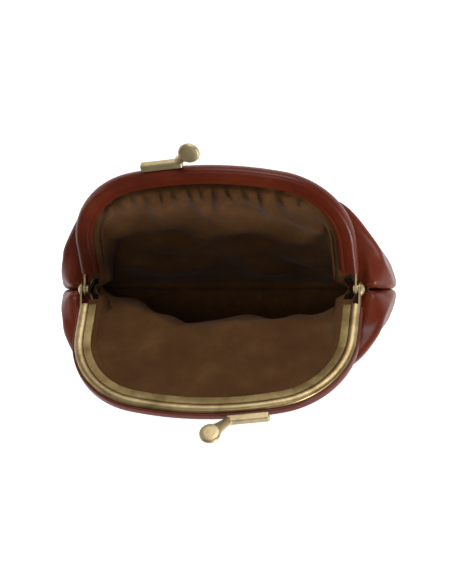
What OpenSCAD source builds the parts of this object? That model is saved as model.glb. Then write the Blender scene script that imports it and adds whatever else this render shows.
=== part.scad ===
// Leather coin purse with a kiss-lock frame, standing open.
// +Z is up, the front arm opens towards -Y, the hinge axis runs along X.
// The origin is at the centre of the base on the surface it stands on.

/* [Overall] */
// Half width of the front arch over its brass
half_width = 47.2; // [39:0.1:57]
// Height of the arch above the hinge axis
arch_height = 48; // [40:0.1:58]
// How far each arm is swung out from upright, in degrees
open_angle = 54; // [45:1:62]
// Depth of the bag below the hinge axis
bag_depth = 44; // [36:0.1:53]
// Half width of the bag at its widest
bag_half_width = 56; // [50:0.1:62]

/* [Arch outline] */
// Radius of the two shoulders of the arch
shoulder_radius = 28; // [22:0.1:32]
// Radius of the shallow crown between the shoulders
crown_radius = 115; // [95:1:140]
// Height at which the channel starts above the hinge axis
leg_start = 5.6; // [5:0.1:7]

/* [Frame section] */
// Thickness of the folded brass sheet
sheet = 0.55; // [0.45:0.01:0.65]
// Width of the channel from its outer edge to its open edge
band = 5.7; // [4.75:0.05:6.8]
// Radius of the rolled bead along the outer edge
bead_radius = 1.1; // [0.9:0.01:1.25]
// Half of the gap left between the two arms when closed
closing_gap = 0.15; // [0.1:0.01:0.3]
// Depth of the flat flange behind the face of the bead
flange_recess = 0.5; // [0.3:0.01:0.6]
// Total thickness of the front channel
channel_depth = 3.6; // [3.4:0.01:4.3]
// How much smaller the rear arch is on each side
rear_inset = 1.2; // [1:0.01:1.4]

/* [Hinge] */
// Radius of the rivet shank
rivet_radius = 1.0; // [0.85:0.01:1.2]
// Running clearance around the rivet shank
running_clearance = 0.05; // [0.03:0.01:0.08]
// Radius of the rounded tab around the rivet
tab_radius = 2.6; // [2.3:0.05:3.1]
// Radius of the domed outer rivet head
head_radius = 2.2; // [1.9:0.05:2.6]
// Height of the domed outer rivet head
head_height = 1.1; // [0.9:0.05:1.3]
// Radius of the upset inner rivet head
upset_radius = 1.7; // [1.5:0.05:2]

/* [Clasp] */
// Diameter of each round clasp knob
knob_diameter = 7.0; // [5.9:0.05:7.1]
// Distance of the front knob from the middle of the purse
knob_offset = 3.8; // [3.7:0.01:4.5]
// How much lower than the front knob the rear knob sits
rear_knob_drop = 1.1; // [1:0.05:1.3]
// Height of the front knob above the hinge axis with the arm closed
knob_height = 58.3; // [57:0.1:62]
// How far each knob leans past the middle plane when closed
knob_lean = 3.0; // [2:0.1:4]
// Length of the bar fixed on the arch
bar_length = 14; // [12:0.1:16.8]
// Width and height of the bar
bar_size = 2.6; // [2.2:0.05:3.1]
// Distance of the bar's middle from the purse's middle
bar_offset = 14; // [12.5:0.1:16]
// Radius of the two tenons under the bar
tenon_radius = 0.55; // [0.46:0.01:0.6]

/* [Leather and lining] */
// Thickness of the leather panels
leather = 0.88; // [0.75:0.01:0.95]
// Thickness of the leather cover on the frame
cover = 0.78; // [0.65:0.01:0.8]
// Thickness of the woven lining
lining = 0.36; // [0.3:0.01:0.4]
// Width of the leather seam allowance inside the bag
leather_allowance = 2.6; // [2.2:0.1:3]
// Width of the lining seam allowance
lining_allowance = 2.4; // [2:0.1:2.6]
// Thickness of the paper cord wedged in the channel
cord = 0.5; // [0.4:0.01:0.56]

/* [Stitches] */
// Distance from one stitch to the next
stitch_pitch = 3.6; // [3:0.1:4.3]
// Radius of the sewing thread
thread_radius = 0.22; // [0.18:0.01:0.3]

/* [Hidden] */
$fn = 32;
hinge_z = bag_depth + leather / 2;
shoulder_x = half_width - shoulder_radius;
crown_s = arch_height - crown_radius;
shoulder_s = crown_s + sqrt(pow(crown_radius - shoulder_radius, 2) - pow(shoulder_x, 2));
crown_half = asin(shoulder_x / (crown_radius - shoulder_radius));
front_bead_t = closing_gap;
front_flange_t = front_bead_t + flange_recess;
front_gap_t = front_flange_t + sheet;
front_outer_t = closing_gap + channel_depth - sheet;
front_back_t = closing_gap + channel_depth;
rear_bead_t = closing_gap + cover + 0.02;
rear_flange_t = rear_bead_t + 0.3;
rear_gap_t = rear_flange_t + sheet;
rear_outer_t = rear_gap_t + 1.8;
rear_back_t = rear_outer_t + sheet;
rear_band = band - 0.1;
front_leather_t = front_outer_t - 0.03 - leather / 2;
rear_leather_t = rear_outer_t - 0.03 - leather / 2;
front_lining_t = front_gap_t + 0.03 + lining / 2;
rear_lining_t = rear_gap_t + 0.03 + lining / 2;
tab_x = half_width - 0.6;
rear_tab_x = half_width - rear_inset - 0.6;
columns = 36;

function mix(a, b, k) = a + (b - a) * k;
function unit(v) = v / norm(v);
function spline(a, b, c, d, k) = 0.5 * (2 * b + (c - a) * k + (2 * a - 5 * b + 4 * c - d) * k * k + (3 * b - a - 3 * c + d) * k * k * k);

// A point of an arm, from its sideways, upward and outward places, with the arm open.
function arm_point(x, s, t) = [x, -s * sin(open_angle) - t * cos(open_angle), s * cos(open_angle) - t * sin(open_angle)];

leg_length = shoulder_s - leg_start;
shoulder_length = shoulder_radius * (90 - crown_half) * PI / 180;
crown_length = crown_radius * crown_half * PI / 180;
half_length = leg_length + shoulder_length + crown_length;
// How far the panels reach below the foot of the channel.
panel_foot = 2.5;

// Outline of the right half of the arch: place and outward direction, q from below the leg foot to the crown.
function half_arch(q) = let(d = mix(-panel_foot, half_length, q))
  d <= leg_length ? [half_width, leg_start + d, 1, 0] :
  d <= leg_length + shoulder_length ? let(a = (d - leg_length) / shoulder_radius * 180 / PI)
    [shoulder_x + shoulder_radius * cos(a), shoulder_s + shoulder_radius * sin(a), cos(a), sin(a)] :
  let(a = crown_half - (d - leg_length - shoulder_length) / crown_radius * 180 / PI)
    [crown_radius * sin(a), crown_s + crown_radius * cos(a), sin(a), cos(a)];

// Outline of the right half of the sewn seam, from below the hinge to the middle of the base.
k_w = bag_half_width / 56;
k_d = bag_depth / 44;
seam_points = [[half_width - 1.5, 0.6], [half_width + 2.2, -3.7], [54.6 * k_w, -7.8 * k_d], [56 * k_w, -15 * k_d], [54.2 * k_w, -24 * k_d],
  [49 * k_w, -32.5 * k_d], [40.5 * k_w, -39.3 * k_d], [30 * k_w, -43.1 * k_d], [20 * k_w, -44 * k_d], [10 * k_w, -44 * k_d], [0, -44 * k_d], [-10 * k_w, -44 * k_d]];
function half_seam(q) = let(d = min(q, 0.99999) * 9, i = floor(d), k = d - i)
  spline(seam_points[i], seam_points[i + 1], seam_points[i + 2], seam_points[i + 3], k);
function seam_inward(q) = let(v = unit(half_seam(min(q + 0.01, 1)) - half_seam(max(q - 0.01, 0)))) [v[1], -v[0]];

// Rows of the leather where it leaves the channel: [inset, outward] beside the legs,
// then [share of the way down to the ridge, outward] under the crown.
side_rows = [[7.6, 0.75], [7.5, 2.3], [4.8, 3.1], [-0.6, 3.3]];
front_mid = [[0.12, 0.1], [0.38, 0.5], [0.72, 1.4], [1, 3.2]];
rear_mid = [[0.08, 0.4], [0.24, 2.0], [0.46, 6.5], [0.68, 12.5]];
// Lower rows under the crown: share of the way to the seam in width and in height, and distance from the middle plane.
front_low = [[0.4, 0.16, 14], [0.6, 0.42, 16], [0.8, 0.7, 19], [0.93, 0.91, 18], [1, 1.0, 10]];
rear_low = [[0.4, 0.24, 23], [0.6, 0.46, 21.5], [0.8, 0.72, 20.5], [0.93, 0.91, 18.5], [1, 1.0, 10]];
// Lower rows beside the legs: share in width, height and depth, and how far the side bulges.
side_low = [[0.45, 0.28, 0.3, 1.5], [0.72, 0.52, 0.55, 1.4], [0.88, 0.74, 0.76, 0.8], [0.96, 0.89, 0.88, 0.3], [1, 0.97, 0.96, 0.1]];
// Keeps a low point inside the plan of the bag, which narrows away from the hinge line.
function in_plan(p) = [min(p[0], bag_half_width - 0.024 * p[1] * p[1] + max(0, p[2] + 4)), p[1], p[2]];
// How far the walls stand out under the shoulders, by row.
wall = [6.8, 5.2, 3.0, 1.1, 0];

function panel_key(q, sgn, rear) = let(
    a = half_arch(q), b = half_seam(q), c = pow(a[3], 1.4), extra = rear ? -0.1 : 0, exit = band + cover + 0.3 + extra,
    mid = rear ? rear_mid : front_mid, low = rear ? rear_low : front_low, t0 = rear ? rear_leather_t : front_leather_t,
    foot = min(1, 0.45 + q * 18), ridge = 14 + extra,
    at = function(inset, t) arm_point(a[0] - a[2] * inset, a[1] - a[3] * inset, t),
    down = function(k, t) arm_point(a[0] - a[2] * (exit + 2.5 * k), mix(a[1] - a[3] * exit, min(ridge, a[1] - a[3] * exit), k), t),
    side = function(i) let(f = i < 1 ? 1 : foot) at(mix(exit, side_rows[i][0] + extra, f), t0 + side_rows[i][1] * f),
    upper = [for (i = [0:3]) mix(side(i), down(mid[i][0], t0 + mid[i][1]), c) - [0, 4 * c * (1 - c) * max(0, i - 1) * 1.4, 0]],
    last_side = side(3), last_mid = down(mid[3][0], t0 + mid[3][1]), reach = 0.3 + 0.7 * min(1, -b[1] / bag_depth),
    lower = [for (i = [0:4]) in_plan(mix(
      [mix(last_side[0], b[0], side_low[i][0]) + side_low[i][3] * foot, mix(last_side[1], -1.3, side_low[i][2]), mix(last_side[2], b[1], side_low[i][1])],
      [mix(last_mid[0], b[0], low[i][0]), -low[i][2] * reach, mix(last_mid[2], b[1], low[i][1])], c) - [0, 4 * c * (1 - c) * wall[i], 0])])
  [for (p = concat([at(rear ? 3.7 : 2.6, t0), at(exit, t0)], upper, lower, [[b[0], -1.3, b[1]]])) [p[0] * sgn, p[1], p[2]]];

// The middle surface of a leather panel without its seam allowance, smooth from row to row.
function panel_column(q, sgn, rear) = let(k = panel_key(q, sgn, rear), m = len(k) - 1)
  concat([k[0]], [for (i = [1:m - 1]) each [k[i], spline(k[i - 1], k[i], k[i + 1], k[min(i + 2, m)], 0.5)]], [k[m]]);
function place(j) = let(w = j / columns) w < 0.5 ? [2 * w, -1] : [2 - 2 * w, 1];
function seam_place(q, sgn, y, depth) = let(b = half_seam(q), n = seam_inward(q)) [sgn * (b[0] + n[0] * depth), y, b[1] + n[1] * depth];
function panel_grid(rear) = [for (j = [0:columns]) let(e = place(j)) panel_column(e[0], e[1], rear)];
function leather_grid(rear) = let(g = panel_grid(rear)) [for (j = [0:columns]) let(e = place(j)) concat(g[j],
    [for (r = [[-0.62, 0.45], [-0.5, 1.2], [-0.5, leather_allowance]]) seam_place(e[0], e[1], r[0], r[1])])];

function grid_normal(g, i, j) = let(ni = len(g) - 1, nj = len(g[0]) - 1,
    du = g[min(i + 1, ni)][j] - g[max(i - 1, 0)][j], dv = g[i][min(j + 1, nj)] - g[i][max(j - 1, 0)])
  unit(cross(du, dv));
function moved(g, by) = [for (i = [0:len(g) - 1]) [for (j = [0:len(g[0]) - 1]) g[i][j] + grid_normal(g, i, j) * by]];

// The lining lies inside the leather: its distance from it by row, and the share of its drop to its own seam by row.
lining_drop = 5.5;
lining_off = [[2, 0.84], [6, 0.84], [8, 2.2], [9, 1.8], [10, 1.1], [11, 0.8]];
lining_share = [[5, 0], [6, 0.45], [7, 0.72], [8, 0.88], [9, 0.96], [10, 1]];
function lining_grid(rear) = let(g = panel_grid(rear), first = rear ? rear_leather_t - rear_lining_t : front_leather_t - front_lining_t)
  [for (i = [0:columns]) let(e = place(i), n = seam_inward(e[0])) concat(
    [for (j = [0:len(g[0]) - 2]) let(row = j < 1 ? 0 : (j + 1) / 2)
      g[i][j] + grid_normal(g, i, j) * lookup(row, concat([[0, first], [1, first]], lining_off)) + lookup(row, lining_share) * lining_drop * [e[1] * n[0], 0, n[1]]],
    [for (r = [[-1.1, 0.2], [-0.5, -0.2], [-0.24, -0.7], [-0.24, -lining_allowance]]) seam_place(e[0], e[1], r[0], lining_drop + r[1])])];

// A closed sheet of one thickness around a grid of points; floor_z flattens what would reach lower.
module sheet_solid(g, thick, floor_z) {
  top = moved(g, thick / 2);
  low = moved(g, -thick / 2);
  ni = len(g);
  nj = len(g[0]);
  n = ni * nj;
  function id(i, j) = i * nj + j;
  points = concat([for (r = top) each r], [for (r = low) each r]);
  polyhedron(points = [for (p = points) [p[0], p[1], max(p[2], floor_z)]], faces = concat(
    [for (i = [0:ni - 2]) for (j = [0:nj - 2]) each [[id(i, j), id(i, j + 1), id(i + 1, j + 1)], [id(i, j), id(i + 1, j + 1), id(i + 1, j)]]],
    [for (i = [0:ni - 2]) for (j = [0:nj - 2]) each [[n + id(i, j), n + id(i + 1, j + 1), n + id(i, j + 1)], [n + id(i, j), n + id(i + 1, j), n + id(i + 1, j + 1)]]],
    [for (i = [0:ni - 2]) each [[id(i, 0), id(i + 1, 0), n + id(i + 1, 0)], [id(i, 0), n + id(i + 1, 0), n + id(i, 0)]]],
    [for (i = [0:ni - 2]) each [[id(i, nj - 1), n + id(i + 1, nj - 1), id(i + 1, nj - 1)], [id(i, nj - 1), n + id(i, nj - 1), n + id(i + 1, nj - 1)]]],
    [for (j = [0:nj - 2]) each [[id(0, j), n + id(0, j + 1), id(0, j + 1)], [id(0, j), n + id(0, j), n + id(0, j + 1)]]],
    [for (j = [0:nj - 2]) each [[id(ni - 1, j), id(ni - 1, j + 1), n + id(ni - 1, j + 1)], [id(ni - 1, j), n + id(ni - 1, j + 1), n + id(ni - 1, j)]]]));
}

// Placing: the arms are drawn flat, x across, y up from the hinge, z outward.
module in_front() { translate([0, 0, hinge_z]) rotate([90 + open_angle, 0, 0]) children(); }
module in_rear() { rotate([0, 0, 180]) in_front() children(); }

// Sweeps a section, drawn with its inset as -x and its outward place as y, around the arch.
module around_arch(from) {
  for (side = [0, 1]) mirror([side, 0, 0]) {
    translate([half_width, shoulder_s + 0.4, 0]) rotate([90, 0, 0]) linear_extrude(height = shoulder_s + 0.4 - from) let($slim = 0.01) children();
    translate([shoulder_x, shoulder_s, 0]) rotate_extrude(angle = 90 - crown_half) translate([shoulder_radius, 0]) children();
  }
  translate([0, crown_s, 0]) rotate([0, 0, 89.7 - crown_half]) rotate_extrude(angle = 2 * crown_half + 0.6) translate([crown_radius, 0]) let($slim = 0.01) children();
}
// How much smaller the leg and crown sections are, so that they end inside the shoulders.
$slim = 0;
module box_2d(u0, u1, t0, t1) { translate([$slim - u1, t0 + $slim]) square([u1 - u0 - 2 * $slim, t1 - t0 - 2 * $slim]); }

module channel_2d(u0, width, bead_t, flange_t, outer_t) {
  translate([-u0 - bead_radius, bead_t + bead_radius]) circle(bead_radius - $slim, $fn = 20);
  box_2d(u0 + bead_radius, u0 + width, flange_t, flange_t + sheet);
  box_2d(u0, u0 + 0.6, bead_t + bead_radius, outer_t + sheet);
  box_2d(u0, u0 + width, outer_t, outer_t + sheet);
}
module tab(x, web_low, web_high) {
  for (side = [0, 1]) mirror([side, 0, 0]) translate([x, 0, 0]) rotate([90, 0, 90]) linear_extrude(height = 0.6) {
    circle(tab_radius);
    polygon([[0, 0.5 - tab_radius], [leg_start + 1, web_low], [leg_start + 1, web_high], [0.5, tab_radius - 0.4]]);
  }
}
module pivot_bores() {
  for (side = [-1, 1]) translate([side * (half_width - 1), 0, 0]) rotate([0, 90, 0]) cylinder(r = rivet_radius + running_clearance, h = 6, center = true);
}
module at_bar() { translate([0, crown_s, 0]) rotate([0, 0, -asin(bar_offset / crown_radius)]) translate([0, crown_radius, 0]) children(); }
bar_t = 2.5;
module tenons(r, low, high) {
  for (x = [-0.32, 0.32]) translate([x * bar_length, low, bar_t]) rotate([-90, 0, 0]) cylinder(r = r, h = high - low, $fn = 24);
}

module front_channel() {
  difference() {
    union() {
      around_arch(leg_start) channel_2d(0, band, front_bead_t, front_flange_t, front_outer_t);
      tab(tab_x, front_bead_t + bead_radius, front_back_t);
    }
    pivot_bores();
    at_bar() tenons(tenon_radius + 0.03, -1.5, 1);
  }
}
module rear_channel() {
  difference() {
    union() {
      around_arch(leg_start) channel_2d(rear_inset, rear_band - rear_inset, rear_bead_t, rear_flange_t, rear_outer_t);
      tab(rear_tab_x, rear_bead_t + bead_radius, rear_back_t);
      for (side = [-1, 1]) translate([side * (half_width - 0.45 - rear_inset / 2), 0, 0]) rotate([0, 90, 0]) cylinder(r = 1.9, h = rear_inset - 0.6, center = true);
    }
    pivot_bores();
    at_bar() tenons(tenon_radius + 0.03, -2.6, 0);
  }
}
module front_frame() { color([0.7, 0.58, 0.38]) in_front() front_channel(); }
module rear_frame() { color([0.68, 0.56, 0.36]) in_rear() rear_channel(); }

module rivet() {
  translate([0, 0, hinge_z]) rotate([0, 90, 0]) {
    translate([0, 0, half_width - rear_inset - 0.9]) cylinder(r = rivet_radius, h = rear_inset + 1.0);
    translate([0, 0, half_width + 0.05]) rotate_extrude() intersection() {
      translate([0, head_height - (head_radius * head_radius + head_height * head_height) / (2 * head_height)]) circle((head_radius * head_radius + head_height * head_height) / (2 * head_height), $fn = 64);
      square([head_radius, head_height]);
    }
    translate([0, 0, rear_tab_x - 0.05 - 0.65]) cylinder(r = upset_radius, h = 0.65);
  }
}
module right_rivet() { color([0.78, 0.66, 0.44]) rivet(); }
module left_rivet() { color([0.78, 0.66, 0.44]) rotate([0, 0, 180]) rivet(); }

// One lever: bar with two tenons, a leaning neck and the round knob facing inward, in one casting.
module lever(across, up, seat, web_in) {
  beta = asin(bar_offset / crown_radius);
  knob = [across * cos(beta) - (up - crown_s) * sin(beta), across * sin(beta) + (up - crown_s) * cos(beta) - crown_radius, -knob_lean];
  start = [-bar_length / 2 + 0.9, 1.8 + bar_size / 2 - 0.9, bar_t];
  v = knob - start;
  length = norm(v);
  r = knob_diameter / 2;
  at_bar() {
    translate([-bar_length / 2, seat, bar_t - bar_size / 2]) cube([bar_length, bar_size, bar_size]);
    tenons(tenon_radius, web_in, seat + 0.5);
    translate(start) rotate([0, acos(v[2] / length), atan2(v[1], v[0])]) rotate_extrude($fn = 36)
      polygon([[0, -0.6], [1.2, -0.6], [1.35, length * 0.35], [1.6, length * 0.7], [1.7, length - 0.3], [0, length]]);
    translate(knob) rotate_extrude($fn = 48)
      polygon([[0, -1.0], [r * 0.6, -0.95], [r - 0.35, -0.75], [r, -0.35], [r, 0.2], [r - 0.4, 0.6], [0, 0.9]]);
  }
}
module front_clasp_lever() { color([0.76, 0.64, 0.42]) in_front() lever(knob_offset, knob_height, cover + 0.04, -0.6); }
module rear_clasp_lever() { color([0.76, 0.64, 0.42]) in_rear() lever(knob_offset - 0.5, knob_height - rear_knob_drop, cover - rear_inset + 0.06, -rear_inset - 0.6); }

module front_cover_2d() {
  box_2d(-0.02 - cover, -0.02, 1.6, front_back_t + 0.02 + cover);
  box_2d(-0.02 - cover, band + 0.02 + cover, front_back_t + 0.02, front_back_t + 0.02 + cover);
  box_2d(band + 0.02, band + 0.02 + cover, front_outer_t, front_back_t + 0.02 + cover);
}
module rear_cover_2d() {
  edge = rear_inset - 0.02;
  lip = rear_band + 0.02;
  back = rear_back_t + 0.02;
  box_2d(edge - cover, edge, closing_gap, back + cover);
  box_2d(edge - cover, edge + 2 * bead_radius + 0.5, closing_gap, closing_gap + cover);
  box_2d(edge + 2 * bead_radius, lip + cover, closing_gap + 0.3, closing_gap + 0.3 + cover);
  box_2d(lip, lip + cover, closing_gap + 0.3, rear_gap_t);
  box_2d(edge - cover, lip + cover, back, back + cover);
  box_2d(lip, lip + cover, rear_outer_t, back + cover);
}
module front_frame_cover() {
  color([0.34, 0.13, 0.08]) in_front() difference() {
    around_arch(leg_start + 0.5) front_cover_2d();
    at_bar() tenons(tenon_radius + 0.03, -0.3, 2);
  }
}
module rear_frame_cover() {
  color([0.36, 0.14, 0.09]) in_rear() difference() {
    around_arch(leg_start + 0.5) rear_cover_2d();
    at_bar() tenons(tenon_radius + 0.03, -1.3, 1);
  }
}

module front_paper_cord() {
  t = front_lining_t + lining / 2 + 0.03;
  color([0.8, 0.72, 0.56]) in_front() around_arch(leg_start + 2) box_2d(2.8, 4.9, t, t + cord);
}
module rear_paper_cord() {
  t = rear_lining_t + lining / 2 + 0.03;
  color([0.8, 0.72, 0.56]) in_rear() around_arch(leg_start + 2) box_2d(3.9, 5.7, t, t + cord - 0.1);
}

module front_leather_panel() { color([0.4, 0.16, 0.1]) translate([0, 0, hinge_z]) sheet_solid(leather_grid(false), leather, -hinge_z); }
module rear_leather_panel() { color([0.4, 0.16, 0.1]) rotate([0, 0, 180]) translate([0, 0, hinge_z]) sheet_solid(leather_grid(true), leather, -hinge_z); }
module front_lining() { color([0.32, 0.22, 0.13]) translate([0, 0, hinge_z]) sheet_solid(lining_grid(false), lining, -hinge_z); }
module rear_lining() { color([0.32, 0.22, 0.13]) rotate([0, 0, 180]) translate([0, 0, hinge_z]) sheet_solid(lining_grid(true), lining, -hinge_z); }

// Lockstitches along the seam: through the two allowances and along each side by turns.
module stitches(depth, half_gap, from) {
  count = floor(88 / stitch_pitch);
  for (side = [-1, 1]) for (i = [0:count - 1]) {
    q = from + (1 - from) * i / count;
    p = seam_place(q, side, 0, depth);
    r = seam_place(min(1, q + (1 - from) / count), side, 0, depth);
    y = (i % 2 == 0 ? 1 : -1) * half_gap;
    translate([p[0], 0, p[2] + hinge_z]) rotate([90, 0, 0]) cylinder(r = thread_radius, h = 2 * half_gap, center = true, $fn = 6);
    v = r - p;
    translate([p[0], y, p[2] + hinge_z]) rotate([0, 90 - atan2(v[2], v[0]), 0]) cylinder(r = thread_radius, h = norm(v), $fn = 6);
  }
}
module leather_seam_thread() { color([0.2, 0.1, 0.06]) stitches(1.7, 0.5 + leather / 2 + 0.1, 0.03); }
module lining_seam_thread() { color([0.24, 0.17, 0.1]) stitches(4.0, 0.24 + lining / 2 + 0.12, 0.03); }

front_frame();
rear_frame();
left_rivet();
right_rivet();
front_clasp_lever();
rear_clasp_lever();
front_frame_cover();
rear_frame_cover();
front_paper_cord();
rear_paper_cord();
front_leather_panel();
rear_leather_panel();
front_lining();
rear_lining();
leather_seam_thread();
lining_seam_thread();
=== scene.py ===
# Leather coin purse with a kiss-lock frame, standing open on a pale surface.
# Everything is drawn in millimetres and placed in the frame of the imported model, which is in metres.
import math

import bmesh
import bpy
from mathutils import Matrix, Vector, noise


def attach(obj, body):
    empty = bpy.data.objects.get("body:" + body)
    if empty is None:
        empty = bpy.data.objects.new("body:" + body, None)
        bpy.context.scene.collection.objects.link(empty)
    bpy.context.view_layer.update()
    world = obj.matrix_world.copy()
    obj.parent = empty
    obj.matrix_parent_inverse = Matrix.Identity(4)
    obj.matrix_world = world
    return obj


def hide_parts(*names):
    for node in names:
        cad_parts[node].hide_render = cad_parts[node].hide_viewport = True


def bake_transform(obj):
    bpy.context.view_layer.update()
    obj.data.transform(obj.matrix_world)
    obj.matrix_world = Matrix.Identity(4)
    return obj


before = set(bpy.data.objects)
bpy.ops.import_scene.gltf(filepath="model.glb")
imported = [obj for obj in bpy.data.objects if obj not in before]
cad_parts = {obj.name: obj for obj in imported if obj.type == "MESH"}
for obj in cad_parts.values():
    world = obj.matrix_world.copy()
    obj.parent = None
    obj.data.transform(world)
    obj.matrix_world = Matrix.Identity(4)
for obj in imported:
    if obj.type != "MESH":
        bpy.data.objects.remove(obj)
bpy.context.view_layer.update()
print("packed model loaded")

mm = 0.001
arch = {"halfWidth": 47.2, "height": 48, "shoulderRadius": 28, "crownRadius": 115, "legStart": 5.6,
    "openAngle": 54, "hingeHeight": 44.44, "turnSteps": 22}
shoulderX = arch["halfWidth"] - arch["shoulderRadius"]
crownS = arch["height"] - arch["crownRadius"]
shoulderS = crownS + math.sqrt((arch["crownRadius"] - arch["shoulderRadius"]) ** 2 - shoulderX**2)
crownHalf = math.asin(shoulderX / (arch["crownRadius"] - arch["shoulderRadius"]))
openTurn = math.radians(arch["openAngle"])
halfTurn = Matrix.Rotation(math.pi, 4, "Z")


# An arm is drawn flat: x across, y up from the hinge, z outwards from the face where the arms meet.
def armPlace(isRear):
    atHinge = Matrix.Scale(mm, 4) @ Matrix.Translation((0, 0, arch["hingeHeight"]))
    m = atHinge @ Matrix.Rotation(math.pi / 2 + openTurn, 4, "X")
    return halfTurn @ m if isRear else m


def mix(a, b, k):
    return a + (b - a) * k


def clamp(k):
    return max(0.0, min(1.0, k))


def smooth(low, high, k):
    k = clamp((k - low) / (high - low))
    return k * k * (3 - 2 * k)


# ---- finishes
def newFinish(name):
    made = bpy.data.materials.new(name)
    made.use_nodes = True
    tree = made.node_tree
    return made, tree, tree.nodes["Principled BSDF"]


def addNode(tree, kind, **values):
    node = tree.nodes.new(kind)
    for key, value in values.items():
        if key.startswith("at_"):
            node.inputs[key[3:].replace("_", " ")].default_value = value
        else:
            setattr(node, key, value)
    return node


def addRamp(tree, source, stops):
    ramp = tree.nodes.new("ShaderNodeValToRGB")
    while len(ramp.color_ramp.elements) < len(stops):
        ramp.color_ramp.elements.new(0.5)
    for element, (place, colour) in zip(ramp.color_ramp.elements, stops):
        element.position = place
        element.color = (*colour, 1) if len(colour) == 3 else (colour[0],) * 3 + (1,)
    tree.links.new(source, ramp.inputs["Fac"])
    return ramp.outputs["Color"]


def addRange(tree, source, low, high):
    node = addNode(tree, "ShaderNodeMapRange")
    node.inputs["To Min"].default_value = low
    node.inputs["To Max"].default_value = high
    tree.links.new(source, node.inputs["Value"])
    return node.outputs["Result"]


def addBump(tree, height, strength, distance, before=None):
    node = addNode(tree, "ShaderNodeBump")
    node.inputs["Strength"].default_value = strength
    node.inputs["Distance"].default_value = distance
    tree.links.new(height, node.inputs["Height"])
    if before is not None:
        tree.links.new(before, node.inputs["Normal"])
    return node.outputs["Normal"]


leatherLook = {"dark": (0.085, 0.0105, 0.003), "middle": (0.118, 0.0165, 0.005),
    "light": (0.16, 0.028, 0.0095), "grain": 1500, "roughness": (0.3, 0.44)}


def makeLeather(name, look, depth=1.0):
    made, tree, shader = newFinish(name)
    place = addNode(tree, "ShaderNodeTexCoord")
    cloud = addNode(tree, "ShaderNodeTexNoise", at_Scale=55.0, at_Detail=4.0, at_Roughness=0.6)
    grain = addNode(tree, "ShaderNodeTexVoronoi", feature="SMOOTH_F1", at_Scale=float(look["grain"]),
        at_Smoothness=0.35)
    crease = addNode(tree, "ShaderNodeTexNoise", at_Scale=420.0, at_Detail=6.0, at_Roughness=0.65)
    for node in (cloud, grain, crease):
        tree.links.new(place.outputs["Object"], node.inputs["Vector"])
    colour = addRamp(tree, cloud.outputs["Fac"], [(0.3, look["dark"]), (0.52, look["middle"]),
        (0.78, look["light"])])
    tree.links.new(colour, shader.inputs["Base Color"])
    tree.links.new(addRange(tree, crease.outputs["Fac"], *look["roughness"]), shader.inputs["Roughness"])
    bump = addBump(tree, grain.outputs["Distance"], 0.22 * depth, 0.0001)
    tree.links.new(addBump(tree, crease.outputs["Fac"], 0.16 * depth, 0.00025, bump), shader.inputs["Normal"])
    shader.inputs["Coat Weight"].default_value = 0.03
    shader.inputs["Specular IOR Level"].default_value = 0.17
    shader.inputs["Coat Roughness"].default_value = 0.22
    return made


brassLook = {"dark": (0.13, 0.085, 0.033), "middle": (0.32, 0.232, 0.112), "light": (0.5, 0.39, 0.215),
    "roughness": (0.38, 0.5)}


def makeBrass(name, look):
    made, tree, shader = newFinish(name)
    place = addNode(tree, "ShaderNodeTexCoord")
    tarnish = addNode(tree, "ShaderNodeTexNoise", at_Scale=120.0, at_Detail=5.0, at_Roughness=0.62)
    brush = addNode(tree, "ShaderNodeTexNoise", at_Scale=900.0, at_Detail=3.0, at_Roughness=0.5)
    tree.links.new(place.outputs["Object"], tarnish.inputs["Vector"])
    tree.links.new(place.outputs["Object"], brush.inputs["Vector"])
    colour = addRamp(tree, tarnish.outputs["Fac"],
        [(0.25, look["dark"]), (0.48, look["middle"]), (0.75, look["light"])])
    tree.links.new(colour, shader.inputs["Base Color"])
    tree.links.new(addRange(tree, brush.outputs["Fac"], *look["roughness"]), shader.inputs["Roughness"])
    tree.links.new(addBump(tree, brush.outputs["Fac"], 0.12, 0.00008), shader.inputs["Normal"])
    shader.inputs["Metallic"].default_value = 1.0
    return made


liningLook = {"dark": (0.04, 0.0165, 0.0055), "middle": (0.076, 0.032, 0.0098),
    "light": (0.13, 0.062, 0.022), "yarnsPerMetre": 2700}


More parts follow.
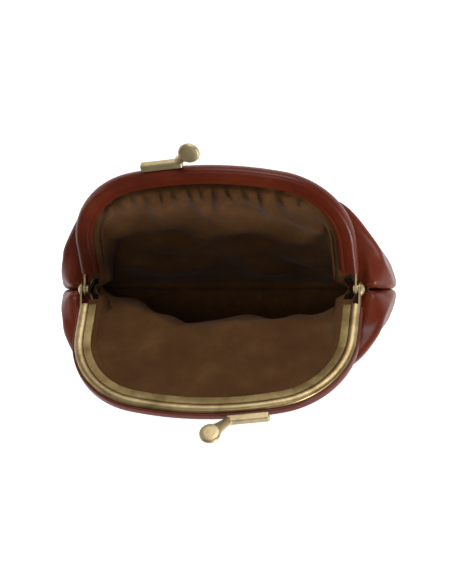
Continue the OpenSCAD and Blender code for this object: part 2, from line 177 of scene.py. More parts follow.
def makeCloth(name, look):
    made, tree, shader = newFinish(name)
    cut = addNode(tree, "ShaderNodeUVMap", uv_map="UVMap")
    place = addNode(tree, "ShaderNodeTexCoord")
    split = addNode(tree, "ShaderNodeSeparateXYZ")
    tree.links.new(cut.outputs["UV"], split.inputs["Vector"])
    waves = []
    for axis in ("X", "Y"):
        turns = addNode(tree, "ShaderNodeMath", operation="MULTIPLY")
        turns.inputs[1].default_value = look["yarnsPerMetre"] * math.pi
        tree.links.new(split.outputs[axis], turns.inputs[0])
        wave = addNode(tree, "ShaderNodeMath", operation="SINE")
        tree.links.new(turns.outputs[0], wave.inputs[0])
        waves.append(wave)
    crossing = addNode(tree, "ShaderNodeMath", operation="MULTIPLY")
    tree.links.new(waves[0].outputs[0], crossing.inputs[0])
    tree.links.new(waves[1].outputs[0], crossing.inputs[1])
    fibre = addNode(tree, "ShaderNodeTexNoise", at_Scale=2600.0, at_Detail=2.0)
    cloud = addNode(tree, "ShaderNodeTexNoise", at_Scale=70.0, at_Detail=4.0, at_Roughness=0.6)
    tree.links.new(place.outputs["Object"], fibre.inputs["Vector"])
    tree.links.new(place.outputs["Object"], cloud.inputs["Vector"])
    blend = addNode(tree, "ShaderNodeMath", operation="MULTIPLY_ADD")
    blend.inputs[1].default_value = 0.16
    tree.links.new(crossing.outputs[0], blend.inputs[0])
    tree.links.new(cloud.outputs["Fac"], blend.inputs[2])
    speck = addNode(tree, "ShaderNodeMath", operation="MULTIPLY_ADD")
    speck.inputs[1].default_value = 0.25
    tree.links.new(fibre.outputs["Fac"], speck.inputs[0])
    tree.links.new(blend.outputs[0], speck.inputs[2])
    tree.links.new(addRamp(tree, speck.outputs[0],
        [(0.2, look["dark"]), (0.66, look["middle"]), (1.0, look["light"])]), shader.inputs["Base Color"])
    shader.inputs["Roughness"].default_value = 0.95
    shader.inputs["Sheen Weight"].default_value = 0.04
    shader.inputs["Sheen Roughness"].default_value = 0.45
    shader.inputs["Specular IOR Level"].default_value = 0.12
    bump = addBump(tree, crossing.outputs[0], 0.35, 0.00009)
    tree.links.new(addBump(tree, fibre.outputs["Fac"], 0.2, 0.00006, bump), shader.inputs["Normal"])
    return made


def makePlain(name, dark, light, scale, roughness, strength):
    made, tree, shader = newFinish(name)
    place = addNode(tree, "ShaderNodeTexCoord")
    cloud = addNode(tree, "ShaderNodeTexNoise", at_Scale=float(scale), at_Detail=5.0, at_Roughness=0.6)
    tree.links.new(place.outputs["Object"], cloud.inputs["Vector"])
    tree.links.new(addRamp(tree, cloud.outputs["Fac"], [(0.32, dark), (0.7, light)]),
        shader.inputs["Base Color"])
    shader.inputs["Roughness"].default_value = roughness
    tree.links.new(addBump(tree, cloud.outputs["Fac"], strength, 0.0001), shader.inputs["Normal"])
    return made


bagLeather = makeLeather("bagLeather", leatherLook)
coverLeather = makeLeather("coverLeather", {**leatherLook, "dark": (0.072, 0.009, 0.0026),
    "middle": (0.098, 0.0135, 0.004), "light": (0.135, 0.0235, 0.008), "roughness": (0.28, 0.4)}, 0.7)
frameBrass = makeBrass("frameBrass", brassLook)
# a darker copy of the frame brass for the flat flange: the darker colour is painted shade, the higher
# roughness is the brushed finish
brushedBrassPaintedShade = makeBrass("brushedBrassPaintedShade", {**brassLook, "dark": (0.07, 0.046, 0.015),
    "middle": (0.17, 0.118, 0.048), "light": (0.3, 0.22, 0.1), "roughness": (0.42, 0.55)})
claspBrass = makeBrass("claspBrass", {**brassLook, "dark": (0.27, 0.205, 0.1),
    "middle": (0.42, 0.335, 0.185), "light": (0.56, 0.465, 0.28), "roughness": (0.42, 0.54)})
wovenLining = makeCloth("wovenLining", liningLook)
rawLeather = makePlain("rawLeather", (0.36, 0.24, 0.15), (0.62, 0.48, 0.35), 1800, 0.9, 0.4)
frayedEdge = makePlain("frayedEdge", (0.2, 0.13, 0.07), (0.42, 0.31, 0.2), 2500, 0.95, 0.4)
twistedPaper = makePlain("twistedPaper", (0.42, 0.33, 0.2), (0.62, 0.52, 0.36), 1400, 0.9, 0.4)
waxedThread = makePlain("waxedThread", (0.03, 0.014, 0.008), (0.075, 0.04, 0.022), 3000, 0.6, 0.4)
print("finishes made")


# ---- shared tools
def finishPiece(name, bm, finishes, matrix=None, sharpAngle=35):
    if matrix is not None:
        bmesh.ops.transform(bm, matrix=matrix, verts=bm.verts)
    bmesh.ops.recalc_face_normals(bm, faces=bm.faces)
    mesh = bpy.data.meshes.new(name)
    bm.to_mesh(mesh)
    bm.free()
    mesh.shade_smooth()
    mesh.set_sharp_from_angle(angle=math.radians(sharpAngle))
    for finish in finishes:
        mesh.materials.append(finish)
    piece = bpy.data.objects.new(name, mesh)
    bpy.context.scene.collection.objects.link(piece)
    return piece


def settle(piece):
    # turns the live modifiers into the piece's own mesh
    bpy.context.view_layer.update()
    made = bpy.data.meshes.new_from_object(piece.evaluated_get(bpy.context.evaluated_depsgraph_get()))
    piece.modifiers.clear()
    piece.data = made


def sweepRoundArch(bm, corners, foot):
    # corners: inset from the outline, outward place, rounding. The section is drawn at the right leg's foot.
    start = [bm.verts.new((arch["halfWidth"] - u, foot, t)) for u, t, r in corners]
    bm.faces.new(start)
    for size in sorted({r for u, t, r in corners if r > 0}):
        chosen = [v for v, (u, t, r) in zip(start, corners) if r == size]
        bmesh.ops.bevel(bm, geom=chosen, offset=size, offset_type="OFFSET", segments=4, profile=0.5,
            affect="VERTICES", material=-1, clamp_overlap=False)
    bmesh.ops.delete(bm, geom=bm.faces[:], context="FACES_ONLY")
    firstEdges = bm.edges[:]
    made = bmesh.ops.extrude_edge_only(bm, edges=firstEdges)["geom"]
    verts = [g for g in made if isinstance(g, bmesh.types.BMVert)]
    edges = [g for g in made if isinstance(g, bmesh.types.BMEdge) and all(v in verts for v in g.verts)]
    bmesh.ops.translate(bm, verts=verts, vec=(0, shoulderS - foot, 0))
    last = verts + edges
    shoulderTurn = math.pi / 2 - crownHalf
    turns = [((shoulderX, shoulderS, 0), shoulderTurn), ((0, crownS, 0), 2 * crownHalf),
             ((-shoulderX, shoulderS, 0), shoulderTurn)]
    for centre, angle in turns:
        last = bmesh.ops.spin(bm, geom=last, cent=centre, axis=(0, 0, 1), dvec=(0, 0, 0), angle=angle,
            steps=arch["turnSteps"], use_merge=False, use_duplicate=False)["geom_last"]
    edges = [g for g in last if isinstance(g, bmesh.types.BMEdge)]
    made = bmesh.ops.extrude_edge_only(bm, edges=edges)["geom"]
    verts = [g for g in made if isinstance(g, bmesh.types.BMVert)]
    bmesh.ops.translate(bm, verts=verts, vec=(0, foot - shoulderS, 0))
    lastEdges = [g for g in made if isinstance(g, bmesh.types.BMEdge) and all(v in verts for v in g.verts)]
    for loop in (firstEdges, lastEdges):
        bmesh.ops.edgeloop_fill(bm, edges=loop)


# ---- the two brass arms
frontBrass = {"beadWide": 1.65, "bead": 1.1, "beadFace": 0.15, "flangeFace": 0.75, "sheet": 0.45,
    "back": 3.75, "outline": 0, "band": 5.7, "tabX": 46.6}
rearBrass = {"beadWide": 1.1, "bead": 1.1, "beadFace": 0.95, "flangeFace": 1.25, "sheet": 0.55,
    "back": 4.15, "outline": 1.2, "band": 5.6, "tabX": 45.4}


def channelSection(c):
    # the outer edge is rolled into a bead that stands proud of the flat flange
    u0, wide, high = c["outline"], c["beadWide"], c["bead"]
    flange = c["flangeFace"]
    fromTurn = math.asin((flange - c["beadFace"] - high) / high)
    bead = []
    for i in range(15):
        a = mix(fromTurn, -math.pi, i / 14)
        bead.append((u0 + wide + wide * math.cos(a), c["beadFace"] + high + high * math.sin(a), 0))
    inside, back = flange + c["sheet"], c["back"]
    webInside = u0 + 0.6
    return [(c["band"], flange, 0.16), *bead, (u0, back, 0.3), (c["band"], back, 0.2),
            (c["band"], back - c["sheet"], 0.16), (webInside, back - c["sheet"], 0),
            (webInside, inside + 1.1, 0), (u0 + 2.3, inside, 0), (c["band"], inside, 0.16)]


def addPlate(bm, x, thick, outline, hole):
    # a flat ring between two loops of equal count, given in the plane of the hinge, made solid outwards
    # from x
    for side in (1, -1):
        loops = [[bm.verts.new((side * x, s, t)) for s, t in loop] for loop in (outline, hole)]
        ring = []
        for i in range(len(outline)):
            k = (i + 1) % len(outline)
            ring.append(bm.faces.new((loops[0][i], loops[0][k], loops[1][k], loops[1][i])))
        solid = bmesh.ops.extrude_face_region(bm, geom=ring, use_keep_orig=True)["geom"]
        bmesh.ops.translate(bm, verts=[g for g in solid if isinstance(g, bmesh.types.BMVert)],
            vec=(side * thick, 0, 0))


def roundLoop(radius, start, turn, count):
    return [(radius * math.cos(start + turn * i / count), radius * math.sin(start + turn * i / count))
        for i in range(count)]


tab = {"radius": 2.6, "hole": 1.06, "thick": 0.6, "washerRadius": 1.9, "washerThick": 0.55}


def addTab(bm, c, boss):
    # hinge tab: a round eye around the rivet, drawn out to the foot of the leg
    low, high, end = c["beadFace"] + c["bead"], c["back"], arch["legStart"] + 0.8
    turns = [math.radians(75 + i * 210 / 27) for i in range(28)]
    eye = [(tab["radius"] * math.cos(a), tab["radius"] * math.sin(a)) for a in turns]
    neck = [(end, mix(low, high, i / 11)) for i in range(12)]
    addPlate(bm, c["tabX"], tab["thick"], eye + neck, roundLoop(tab["hole"], math.radians(75), math.tau, 40))
    if boss:
        washer = roundLoop(tab["washerRadius"], 0, math.tau, 40)
        addPlate(bm, c["tabX"] + 0.5, tab["washerThick"], washer, roundLoop(tab["hole"], 0, math.tau, 40))


def makeBrassArm(name, c, isRear):
    bm = bmesh.new()
    sweepRoundArch(bm, channelSection(c), arch["legStart"])
    for f in bm.faces:  # the flat flange is brushed, and its darker brass colour is painted shade
        f.material_index = int(all(abs(v.co.z - c["flangeFace"]) < 0.2 for v in f.verts))
    addTab(bm, c, isRear)
    piece = finishPiece(name + "_brass", bm, [frameBrass, brushedBrassPaintedShade], armPlace(isRear), 40)
    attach(piece, name.replace("frame", "arm"))
    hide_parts(name)


makeBrassArm("front_frame", frontBrass, False)
makeBrassArm("rear_frame", rearBrass, True)
print("brass arms made")

# ---- leather covers on the arms
frontCoverCut = {"thick": 0.78, "from": 1.6, "back": 3.77, "lip": 5.72, "foot": 6.1}
rearCoverCut = {"thick": 0.78, "back": 4.17, "lip": 5.62, "foot": 6.1}


def makeFrontCover(c):
    w = c["thick"]
    bm = bmesh.new()
    sweepRoundArch(bm, [(-0.02, c["from"], 0.1), (-0.02 - w, c["from"], 0.3),
        (-0.02 - w, c["back"] + w, 0.75), (c["lip"] + w, c["back"] + w, 0.5), (c["lip"] + w, 3.22, 0.3),
                        (c["lip"], 3.22, 0.1), (c["lip"], c["back"], 0), (-0.02, c["back"], 0.05)], c["foot"])
    piece = finishPiece("front_cover_leather", bm, [coverLeather], armPlace(False), 50)
    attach(piece, "front_arm")
    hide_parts("front_frame_cover")


def makeRearCover(c):
    w = c["thick"]
    outer = 1.18 - w
    bm = bmesh.new()
    sweepRoundArch(bm, [(c["lip"] + w, 1.8, 0.2), (c["lip"] + w, 0.8, 0.4), (5.4, 0.58, 0.3),
        (4.95, 0.7, 0.12), (4.55, 0.48, 0.3), (3.2, 0.1, 1.3), (outer, 0.25, 1.9),
        (outer, c["back"] + w, 2.35), (c["lip"] + w, c["back"] + w, 0.5), (c["lip"] + w, 3.62, 0.3),
        (c["lip"], 3.62, 0.1), (c["lip"], c["back"], 0), (1.4, c["back"] - 0.15, 0),
        (1.18, c["back"] - 0.5, 0), (1.18, 0.93, 0), (3.5, 0.93, 0), (3.6, 1.23, 0),
        (c["lip"], 1.23, 0), (c["lip"], 1.8, 0.1)], c["foot"])
    piece = finishPiece("rear_cover_leather", bm, [coverLeather], armPlace(True), 50)
    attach(piece, "rear_arm")
    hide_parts("rear_frame_cover")


makeFrontCover(frontCoverCut)
makeRearCover(rearCoverCut)
print("arm covers made")

# ---- clasp levers, each a bar, a leaning rod and a round knob cast in one
lever = {"barLength": 14, "barSize": 2.6, "barOffset": 14, "outward": 2.5, "lean": 3.0, "knobRadius": 3.5,
    "grain": 0.14}


def addSpun(bm, profile, place):
    line = [bm.verts.new((x, 0, z)) for x, z in profile]
    edges = [bm.edges.new(pair) for pair in zip(line, line[1:])]
    before = set(bm.verts) - set(line)
    bmesh.ops.spin(bm, geom=line + edges, cent=(0, 0, 0), axis=(0, 0, 1), dvec=(0, 0, 0), angle=math.tau,
        steps=48, use_merge=True, use_duplicate=False)
    made = [v for v in bm.verts if v not in before]
    bmesh.ops.remove_doubles(bm, verts=made, dist=0.001)
    made = [v for v in bm.verts if v not in before]
    bmesh.ops.transform(bm, matrix=place, verts=made)
    return made


def makeLever(name, seat, knobOffset, knobHeight, isRear):
    beta = math.asin(lever["barOffset"] / arch["crownRadius"])
    size, up, r = lever["barSize"], knobHeight - crownS, lever["knobRadius"]
    knob = Vector((knobOffset * math.cos(beta) - up * math.sin(beta),
        knobOffset * math.sin(beta) + up * math.cos(beta) - arch["crownRadius"], -lever["lean"]))
    start = Vector((-lever["barLength"] / 2 + 0.9, 0.9 + size / 2, lever["outward"]))
    length = (knob - start).length
    bm = bmesh.new()
    neck = [(0, -0.75), (1.35, -0.75), (1.5, length * 0.25), (1.85, length * 0.5), (2.5, length * 0.78),
        (3.0, length - 0.4), (0, length + 0.3)]
    disc = [(0, -1.0), (r * 0.6, -0.95), (r - 0.35, -0.75), (r, -0.35), (r, 0.35), (r - 0.3, 0.75),
        (r - 0.9, 0.95), (0, 1.1)]
    alongNeck = (knob - start).to_track_quat("Z", "Y").to_matrix().to_4x4()
    for v in addSpun(bm, neck, Matrix.Translation(start) @ alongNeck):
        k = (v.co - start).dot(knob - start) / length**2
        middle = mix(start.z, knob.z, k)
        v.co.z = middle + (v.co.z - middle) * mix(1, 0.34, min(1, max(0, k)))  # flattens into the knob
    addSpun(bm, disc, Matrix.Translation(knob))
    bar = bmesh.ops.create_cube(bm, size=1)["verts"]
    bmesh.ops.scale(bm, verts=bar, vec=(lever["barLength"], size, size))
    bmesh.ops.translate(bm, verts=bar, vec=(0, seat + size / 2, lever["outward"]))
    barEdges = list({e for v in bar for e in v.link_edges})
    bmesh.ops.bevel(bm, geom=barEdges, offset=0.35, offset_type="OFFSET", segments=2, profile=0.5,
        affect="EDGES", material=-1)
    onArch = Matrix.Translation((0, crownS, 0)) @ Matrix.Rotation(-beta, 4,
        "Z") @ Matrix.Translation((0, arch["crownRadius"], 0))
    piece = finishPiece(name + "_casting", bm, [claspBrass], armPlace(isRear) @ onArch, 60)
    cast = piece.modifiers.new("cast", "REMESH")
    cast.mode = "VOXEL"
    cast.voxel_size = lever["grain"] * mm
    worn = piece.modifiers.new("worn", "SMOOTH")
    worn.factor = 0.5
    worn.iterations = 7
    settle(piece)
    piece.data.shade_smooth()
    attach(piece, "rear_arm" if isRear else "front_arm")
    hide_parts(name)


makeLever("front_clasp_lever", 0.82, 3.8, 58.7, False)
makeLever("rear_clasp_lever", -0.36, 3.2, 56.4, True)
print("clasp levers made")

# ---- outlines shared by the leather and the lining
hinge = arch["hingeHeight"]
legLength = shoulderS - arch["legStart"]
shoulderLength = arch["shoulderRadius"] * (math.pi / 2 - crownHalf)
crownLength = arch["crownRadius"] * crownHalf
halfLength = legLength + shoulderLength + crownLength
seamLine = [(45.7, 0.6), (49.4, -3.7), (54.6, -7.8), (56, -15), (54.2, -24), (49, -32.5), (40.5, -39.3),
    (30, -43.1), (20, -44), (10, -44), (0, -44), (-10, -44)]
bag = {"halfWidth": 56, "planCurve": 0.024, "panelFoot": 2.5, "exit": 6.78, "ridge": 14, "depth": 44}


def spline(a, b, c, d, k):
    return (b * 2 + (c - a) * k + (a * 2 - b * 5 + c * 4 - d) * k**2 + (b * 3 - a - c * 3 + d) * k**3) * 0.5


def armPoint(x, s, t):
    return Vector((x, -s * math.sin(openTurn) - t * math.cos(openTurn),
        s * math.cos(openTurn) - t * math.sin(openTurn)))


def halfArch(q):
    d = mix(-bag["panelFoot"], halfLength, q)
    if d <= legLength:
        return arch["halfWidth"], arch["legStart"] + d, 1.0, 0.0
    if d <= legLength + shoulderLength:
        r = arch["shoulderRadius"]
        a = (d - legLength) / r
        return shoulderX + r * math.cos(a), shoulderS + r * math.sin(a), math.cos(a), math.sin(a)
    r = arch["crownRadius"]
    a = crownHalf - (d - legLength - shoulderLength) / r
    return r * math.sin(a), crownS + r * math.cos(a), math.sin(a), math.cos(a)


def halfSeam(q):
    d = min(q, 0.99999) * 9
    i = int(d)
    return spline(*[Vector(p) for p in seamLine[i : i + 4]], d - i)


def seamInward(q):
    v = (halfSeam(min(q + 0.01, 1)) - halfSeam(max(q - 0.01, 0))).normalized()
    return Vector((v.y, 0, -v.x))


# rows beside the legs as inset and outward place, then under the crown as share of the way to the ridge
sideRows = [(7.6, 0.75), (7.5, 2.3), (4.8, 3.1), (-0.6, 3.3)]
sideLow = [(0.45, 0.28, 0.3, 1.5), (0.72, 0.52, 0.55, 1.4), (0.88, 0.74, 0.76, 0.8),
    (0.96, 0.89, 0.88, 0.3), (1, 0.97, 0.96, 0.1)]
wallOut = [6.8, 5.2, 3.0, 1.1, 0]
frontBag = {"inChannel": 2.6, "extra": 0, "wall": 0.85, "leatherAt": 2.73, "liningAt": 1.41,
    "mid": [(0.12, 0.1), (0.38, 0.5), (0.72, 1.4), (1, 3.2)],
            "low": [(0.4, 0.16, 14), (0.6, 0.42, 16), (0.8, 0.7, 19), (0.93, 0.91, 18), (1, 1.0, 10)]}
rearBag = {"inChannel": 3.7, "extra": -0.1, "wall": 0.3, "leatherAt": 3.13, "liningAt": 2.01,
    "mid": [(0.08, 0.4), (0.24, 2.0), (0.46, 6.5), (0.68, 12.5)],
           "low": [(0.4, 0.24, 23), (0.6, 0.46, 21.5), (0.8, 0.72, 20.5), (0.93, 0.91, 18.5), (1, 1.0, 10)]}


def panelKeys(q, side, part, isLining):
    # the leather turns round the legs before it hangs down, while the lining soon lies flat across the arm
    ax, ay, nx, ny = halfArch(q)
    b = halfSeam(q)
    c = mix(0.65, 1, smooth(3.5, 12, ay)) if isLining else ny**1.4
    leave = bag["exit"] + part["extra"]
    t0 = part["leatherAt"]
    foot = min(1, 0.45 + q * 18)
    ridge = bag["ridge"] + part["extra"]

    def at(inset, t):
        return armPoint(ax - nx * inset, ay - ny * inset, t)

    def down(k, t):
        low = ay - ny * leave
        return armPoint(ax - nx * (leave + 2.5 * k), mix(low, min(ridge, low), k), t)

    def beside(i):
        f = foot if i else 1
        return at(mix(leave, sideRows[i][0] + part["extra"], f), t0 + sideRows[i][1] * f)

    keys = [at(part["inChannel"], t0), at(leave, t0)]
    hump = 4 * c * (1 - c) * part["wall"]
    for i, (k, t) in enumerate(part["mid"]):
        keys.append(beside(i).lerp(down(k, t0 + t), c) - Vector((0, hump * max(0, i - 1) * 1.4, 0)))
    lastSide = beside(3)
    lastMid = down(part["mid"][3][0], t0 + part["mid"][3][1])
    reach = 0.3 + 0.7 * min(1, -b.y / bag["depth"])
    for (kx, kz, ky, bulge), (mx, mz, my), wall in zip(sideLow, part["low"], wallOut):
        besideLeg = Vector((mix(lastSide.x, b.x, kx) + bulge * foot, mix(lastSide.y, -1.3, ky),
            mix(lastSide.z, b.y, kz)))
        underCrown = Vector((mix(lastMid.x, b.x, mx), -my * reach, mix(lastMid.z, b.y, mz)))
        p = besideLeg.lerp(underCrown, c) - Vector((0, hump * wall, 0))
        p.x = min(p.x, bag["halfWidth"] - bag["planCurve"] * p.y**2 + max(0, p.z + 1))
        keys.append(p)
    keys.append(Vector((b.x, -1.3, b.y)))
    return [Vector((p.x * side, p.y, p.z)) for p in keys]


def panelAt(keys, row):
    row = min(row, len(keys) - 1.0001)
    i = int(row)
    if i < 1:
        return keys[0].lerp(keys[1], row)
    return spline(keys[i - 1], keys[i], keys[i + 1], keys[min(i + 2, len(keys) - 1)], row - i)


def placeAcross(w):
    return (2 * w, -1) if w < 0.5 else (2 - 2 * w, 1)


def seamPlace(q, side, y, depth):
    b, n = halfSeam(q), seamInward(q)
    return Vector((side * (b.x + n.x * depth), y, b.y + n.z * depth))


def panelNormal(grid, i, j):
    across = grid[min(i + 1, len(grid) - 1)][j] - grid[max(i - 1, 0)][j]
    along = grid[i][min(j + 1, len(grid[0]) - 1)] - grid[i][max(j - 1, 0)]
    return across.cross(along).normalized()


def makeSheet(name, grid, finishes, isRear, thick, flat):
    columns, rows = len(grid) - 1, len(grid[0]) - 1
    bm = bmesh.new()
    bmesh.ops.create_grid(bm, x_segments=columns, y_segments=rows, size=1, calc_uvs=False)
    cut = bm.loops.layers.uv.new("UVMap")
    share = {}
    for v in bm.verts:
        share[v] = ((v.co.x + 1) / 2, (v.co.y + 1) / 2)
    for v, (across, along) in share.items():
        v.co = grid[round(across * columns)][round(along * rows)]
    for f in bm.faces:
        for corner in f.loops:
            corner[cut].uv = (share[corner.vert][0] * flat[0], share[corner.vert][1] * flat[1])
    place = Matrix.Scale(mm, 4) @ Matrix.Translation((0, 0, hinge))
    bmesh.ops.transform(bm, matrix=halfTurn @ place if isRear else place, verts=bm.verts)
    mesh = bpy.data.meshes.new(name)
    bmesh.ops.recalc_face_normals(bm, faces=bm.faces)
    bm.to_mesh(mesh)
    bm.free()
    mesh.shade_smooth()
    for finish in finishes:
        mesh.materials.append(finish)
    piece = bpy.data.objects.new(name, mesh)
    bpy.context.scene.collection.objects.link(piece)
    body = piece.modifiers.new("thickness", "SOLIDIFY")
    body.thickness = thick * mm
    body.offset = 0
    body.use_even_offset = False
    body.material_offset_rim = 1
    return piece


def foldAcrossHinge(piece):
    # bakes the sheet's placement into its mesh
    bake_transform(piece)


def panelGrid(part, columns, rowsPerKey, isLining):
    grid = []
    for j in range(columns + 1):
        q, side = placeAcross(j / columns)
        keys = panelKeys(q, side, part, isLining)
        grid.append([panelAt(keys, i / rowsPerKey) for i in range((len(keys) - 1) * rowsPerKey + 1)])
    return grid


# ---- leather panels
leatherPanel = {"thick": 0.88, "columns": 112, "rowsPerKey": 3, "flat": (0.135, 0.098), "dent": 0.35,
    "puckers": 0.25}


def makeLeatherPanel(name, part, isRear):
    c = leatherPanel
    base = panelGrid(part, c["columns"], c["rowsPerKey"], False)
    grid = []
    for j, column in enumerate(base):
        q, side = placeAcross(j / c["columns"])
        points = []
        for i, p in enumerate(column):
            row = i / c["rowsPerKey"]
            free = smooth(1.6, 4, row) * (1 - smooth(9.6, 10.8, row))
            dent = noise.noise(p * 0.06 + Vector((3, 7 if isRear else 1, 0))) * c["dent"] + noise.noise(p
                * 0.17) * c["dent"] * 0.35
            gather = math.sin(j * 1.9 + 1.3 * math.sin(j * 0.37)) * c["puckers"] * smooth(1.2, 2,
                row) * (1 - smooth(3, 5.5, row))
            p = p - panelNormal(base, j, i) * (abs(dent) * free + max(0, gather) * 0.6)
            nearRivet = smooth(47.6, 49.8, abs(p.x)) * (1 - smooth(0.0, 0.13, q)) * (1 - smooth(9.5, 11, row))
            underRivet = smooth(42.5, 45.5, abs(p.x)) * (1 - smooth(47.6, 49.6,
                abs(p.x))) * (1 - smooth(0.0, 0.1, q)) * smooth(3.5, 5, row)
            p.y = mix(p.y, -0.6, max(0.8 * nearRivet, underRivet))
            p.z = mix(p.z + 1.6 * nearRivet, min(p.z, -3.25), underRivet)
            points.append(p)
        for y, depth in [(-0.58, 0.45), (-0.445, 1.2), (-0.445, 2.6)]:
            points.append(seamPlace(q, side, y, depth))
        grid.append(points)
    piece = makeSheet(name + "_sheet", grid, [bagLeather, rawLeather], isRear, c["thick"], c["flat"])
    soft = piece.modifiers.new("soft", "SUBSURF")
    soft.levels = soft.render_levels = 1
    foldAcrossHinge(piece)
    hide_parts(name)


makeLeatherPanel("front_leather_panel", frontBag, False)
makeLeatherPanel("rear_leather_panel", rearBag, True)
print("leather panels made")

# ---- linings
liningDrop = 5.5
liningOff = [(2, 0.84), (6, 0.84), (8, 2.2), (9, 1.8), (10, 1.1), (11, 0.8)]
liningShare = [(5, 0), (6, 0.45), (7, 0.72), (8, 0.88), (9, 0.96), (10, 1)]
liningPanel = {"thick": 0.36, "columns": 224, "rowsPerKey": 6, "flat": (0.128, 0.088)}


def lookUp(table, k):
    if k <= table[0][0]:
        return table[0][1]
    for (a, va), (b, vb) in zip(table, table[1:]):
        if k <= b:
            return mix(va, vb, (k - a) / (b - a))
    return table[-1][1]


# the edge of the rolled shelf of the front lining: sideways place, and distance in front of the hinge
shelfEdge = [(-42, 5), (-34, 4.5), (-28, 5.5), (-20, 10), (-13.6, 13.6), (-6, 12.2), (11, 11), (25, 10.2),
    (38, 9.6), (44, 8)]


def frontFolds(p, n, row, side, q):
    # the shelf ends in a soft roll, and the fabric below it hangs in loose folds
    p = hingeFlap(p, row, q, side)
    edge = -lookUp(shelfEdge, p.x)
    ridgeY = -14.2
    pull = max(0.0, edge - ridgeY) * smooth(2.2, 4.6, row) * (1 - smooth(6.2, 8.4, row)) * smooth(0, 0.22, q)
    way = armPoint(0, -1, 0)
    p = p + way * pull * 1.05
    roll = 1.3 * math.exp(-(((row - 4.95) / 0.4) ** 2)) * (0.7 + 0.3 * math.sin(p.x * 0.33))
    creaseAt = 4.1 + 0.3 * math.sin(p.x * 0.15)
    inMiddle = smooth(-32, -10, p.x) * (1 - smooth(6, 30, p.x))
    roll += 0.6 * math.exp(-(((row - creaseAt) / 0.22) ** 2)) * inMiddle
    hang = smooth(5.2, 7, row) * (1 - smooth(9, 10.6, row))
    ripple = (0.5 + 0.5 * math.sin(p.x * 0.34 + 1.4 * math.sin(p.x * 0.11 + row * 0.5))) * 2.0 * hang
    loose = (0.5 + noise.noise(Vector((p.x * 0.09, row * 0.55, 4)))) * 1.3 * hang
    cockle = (0.5 + noise.noise(Vector((p.x * 0.2, row * 0.8, 9)))) * 0.22 * smooth(1.3, 2.2,
        row) * (1 - smooth(4, 5, row))
    return p + n * (roll + ripple + loose + cockle)


def hingeFlap(p, row, q, side):
    # beside the rivet the lining runs on past the foot of the channel, up to the other panel
    share = (1 - smooth(0.0, 0.1, q)) * (1 - smooth(4.5, 8, row))
    wave = 0.5 * math.sin(row * 2.3 + side)
    p = p + armPoint(0, -1, 0) * (4.8 + wave) * share + Vector((0, 0, 0.8 * share))
    free = smooth(-3.5, -1.0, p.y) * (1 - smooth(0.02, 0.07, q))  # clear of the leather round the leg
    return p + Vector((side * 4.2 * share * free * smooth(0.4, 1.6, row), 0, 0))


# gathers under the rear band: sideways place, half width, depth and how far down each fold runs
gathers = [(-31, 1.6, 1.2, 2.6), (-25.5, 2.2, 2.2, 3.8), (-19, 1.8, 2.8, 4.4), (-14, 2.4, 2.4, 3.4),
    (-8.6, 1.5, 3.2, 3.0), (-4.5, 1.9, 2.6, 4.2), (0.5, 2.2, 2.2, 3.3), (4.6, 1.5, 2.9, 4.6),
           (9.4, 2.3, 2.6, 3.2), (13.8, 1.6, 2.4, 3.9), (18.5, 2.4, 2.8, 4.8), (24, 1.7, 2.0, 3.2), (29.5,
               2.2, 1.8, 3.9), (34, 1.6, 1.1, 2.8)]


def gatherDepth(x, row):
    depth = 0.0
    for middle, wide, deep, reach in gathers:
        spread = wide * (1 + 0.5 * max(0, row - 1.4))
        drift = middle + 0.9 * math.sin(middle) * max(0, row - 1.3)
        depth = max(depth, 1.45 * deep * math.exp(-abs((x - drift) / spread) ** 1.4) * smooth(1.12, 1.5,
            row) * (1 - smooth(1.8, reach, row)))
    return depth


def rearFolds(p, n, row, side, q):
    hang = smooth(2.2, 5, row) * (1 - smooth(8.8, 10.6, row))
    inside = 1.3 * smooth(1.3, 2.2, row) * (1 - smooth(5, 7, row))
    sway = 1.1 * math.sin(p.x * 0.07 + row * 0.9)
    swag = (0.5 + 0.5 * math.sin(p.x * 0.21 + sway + row * 0.35)) * 1.5 * hang
    loose = (0.5 + noise.noise(Vector((p.x * 0.07, row * 0.7, 14)))) * 2.0 * hang
    across = (0.5 + 0.5 * math.sin(row * 2.9 + p.x * 0.06
        + 2 * noise.noise(Vector((p.x * 0.05, 8, 0))))) * 0.7 * hang
    return hingeFlap(p, row, q, side) + n * (inside + gatherDepth(p.x,
        row) + (swag + loose + across) * smooth(0, 0.15, q))


def hangStraight(column, top, bottom, rowsPerKey, share):
    # the loose lining slopes from the gathers straight to its seam, with a little sag
    first, last = column[int(top * rowsPerKey)], column[-1]
    hung = []
    for i, p in enumerate(column):
        row = i / rowsPerKey
        k = clamp((row - top) / (bottom - top))
        straight = first.lerp(last, k) + Vector((0, 0, -3.0 * k * k * (1 - k)))
        weight = share * smooth(top, top + 1.6, row) * (1 - smooth(bottom - 0.8, bottom, row))
        hung.append(p.lerp(straight, weight))
    return hung


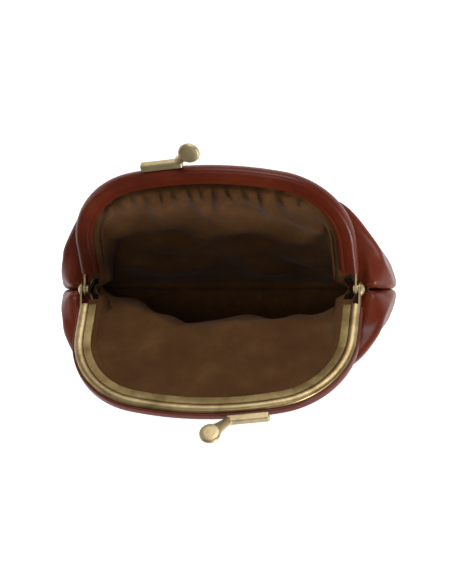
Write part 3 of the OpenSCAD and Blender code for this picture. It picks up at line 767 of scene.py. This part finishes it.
def makeLining(name, part, isRear, folds):
    c = liningPanel
    base = panelGrid(part, c["columns"], c["rowsPerKey"], True)
    if isRear:
        base = [hangStraight(column, 1.7, 11, c["rowsPerKey"],
            0.85 * smooth(0.16, 0.42, placeAcross(j / c["columns"])[0])) for j, column in enumerate(base)]
    first = part["leatherAt"] - part["liningAt"]
    grid = []
    for j, column in enumerate(base):
        q, side = placeAcross(j / c["columns"])
        inward = seamInward(q)
        points = []
        for i, p in enumerate(column[:-1]):
            row = i / c["rowsPerKey"]
            n = panelNormal(base, j, i)
            away = lookUp([(0, first), (1, first)] + liningOff, row)
            drop = lookUp(liningShare, row) * liningDrop
            placed = p + n * away + Vector((side * inward.x, 0, inward.z)) * drop
            points.append(folds(placed, n, row, side, q) if row > 1.05 else placed)
        for y, depth in [(-1.1, 0.2), (-0.4, -0.2), (-0.15, -0.7), (-0.15, -2.4)]:
            points.append(seamPlace(q, side, y, liningDrop + depth))
        grid.append(points)
    piece = makeSheet(name + "_sheet", grid, [wovenLining, frayedEdge], isRear, c["thick"], c["flat"])
    foldAcrossHinge(piece)
    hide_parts(name)


makeLining("front_lining", frontBag, False, frontFolds)
makeLining("rear_lining", rearBag, True, rearFolds)
print("linings made")

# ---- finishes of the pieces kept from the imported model
for node, finish in [("left_rivet", claspBrass), ("right_rivet", claspBrass),
    ("front_paper_cord", twistedPaper), ("rear_paper_cord", twistedPaper),
    ("leather_seam_thread", waxedThread), ("lining_seam_thread", waxedThread)]:
    kept = bpy.data.objects[node]
    kept.data.materials.clear()
    kept.data.materials.append(finish)
    kept.data.shade_smooth()
    kept.data.set_sharp_from_angle(angle=math.radians(30))

# ---- floor, camera and light
floorMesh = bmesh.new()
bmesh.ops.create_grid(floorMesh, x_segments=1, y_segments=1, size=2)
floorFinish, _, floorShader = newFinish("paleFloor")
floorShader.inputs["Base Color"].default_value = (0.95, 0.95, 0.95, 1)
floorShader.inputs["Emission Color"].default_value = (1, 1, 1, 1)
floorShader.inputs["Emission Strength"].default_value = 0.55
floorShader.inputs["Roughness"].default_value = 0.9
floor = finishPiece("floor", floorMesh, [floorFinish])

view = {"lean": (0.1948, 0.008, 1), "distance": 1.0, "lens": 186.1, "right": 1.87, "up": -0.865}
pivot = Vector((0, 0, hinge * mm))
back = Vector(view["lean"]).normalized()
rightward = (Vector((1, 0, 0)) - back * back.x).normalized()
upward = back.cross(rightward)
cameraData = bpy.data.cameras.new("camera")
cameraData.lens = view["lens"]
cameraData.sensor_width = 36
cameraData.clip_end = 10
camera = bpy.data.objects.new("camera", cameraData)
cameraPlace = pivot + back * view["distance"] + rightward * view["right"] * mm + upward * view["up"] * mm
camera.matrix_world = Matrix.Translation(cameraPlace) @ Matrix((rightward, upward,
    back)).transposed().to_4x4()
bpy.context.scene.collection.objects.link(camera)
bpy.context.scene.camera = camera


def softbox(name, place, size, power):
    data = bpy.data.lights.new(name, "AREA")
    data.shape = "RECTANGLE"
    data.size, data.size_y = size
    data.energy = power
    lamp = bpy.data.objects.new(name, data)
    lamp.location = place
    lamp.rotation_euler = (Vector((0, 0, 0.03)) - Vector(place)).to_track_quat("-Z", "Y").to_euler()
    bpy.context.scene.collection.objects.link(lamp)


softbox("backLight", (0.25, 1.15, 0.85), (1.0, 0.5), 14)
softbox("frontLight", (0.95, -1.1, 0.4), (0.4, 0.3), 18)
softbox("leftLight", (-1.3, 0.1, 0.4), (0.5, 0.9), 4)
softbox("topLight", (0.1, -0.2, 1.6), (0.7, 0.7), 4.5)
world = bpy.data.worlds.new("studio")
world.use_nodes = True
world.node_tree.nodes["Background"].inputs["Color"].default_value = (1, 1, 1, 1)
world.node_tree.nodes["Background"].inputs["Strength"].default_value = 0.19
bpy.context.scene.world = world
bpy.context.scene.view_settings.view_transform = "Standard"
print("floor, camera and light made")
